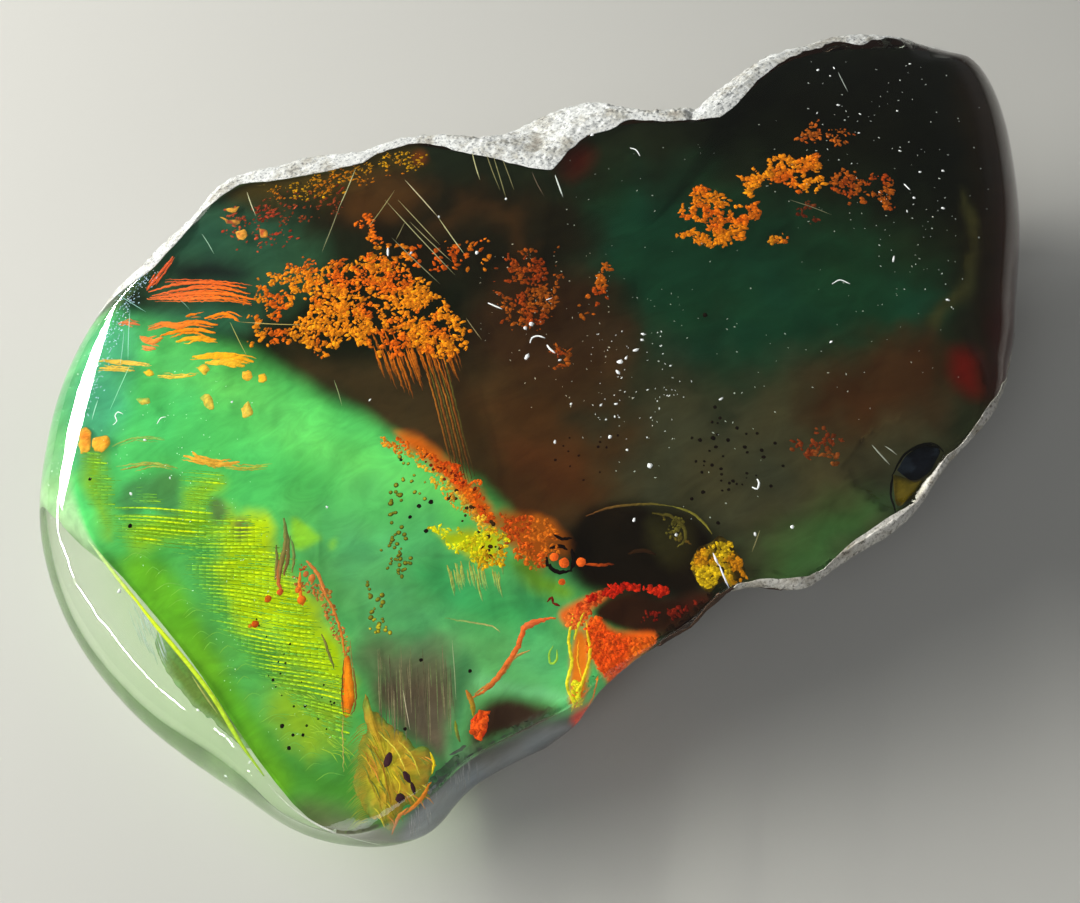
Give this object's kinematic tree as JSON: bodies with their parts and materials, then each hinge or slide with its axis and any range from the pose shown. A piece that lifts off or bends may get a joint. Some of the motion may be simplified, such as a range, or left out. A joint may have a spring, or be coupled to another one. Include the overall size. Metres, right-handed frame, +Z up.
{
  "type": "rough amber",
  "caption": "Wedge-shaped lump of clear raw amber with a broad polished window on top, a crusted broken rim and natural rind below.",
  "frame": {"origin": "middle of the footprint, on the surface that the piece rests on", "axes": "+X along the longest way, towards the thick end; +Z up out of the polished window"},
  "size_m": [0.105, 0.067, 0.0224],
  "materials": {
    "amber_resin": "clear amber, polished on the window and flanks",
    "amber_glow": "cloudy green glow inside the resin",
    "amber_rind": "dark natural rind",
    "white_crust": "frosted white broken crust",
    "orange_flecks": "orange crumbs and streaks sealed in the resin",
    "dark_flecks": "dark grains, bubbles and drops in the resin",
    "flow_sheet": "rippled lime flow layer in the resin",
    "dust": "pale dust and scratches on the polish"
  },
  "bodies": {
    "root": {"amber": "amber_resin"}
  },
  "joints": []
}
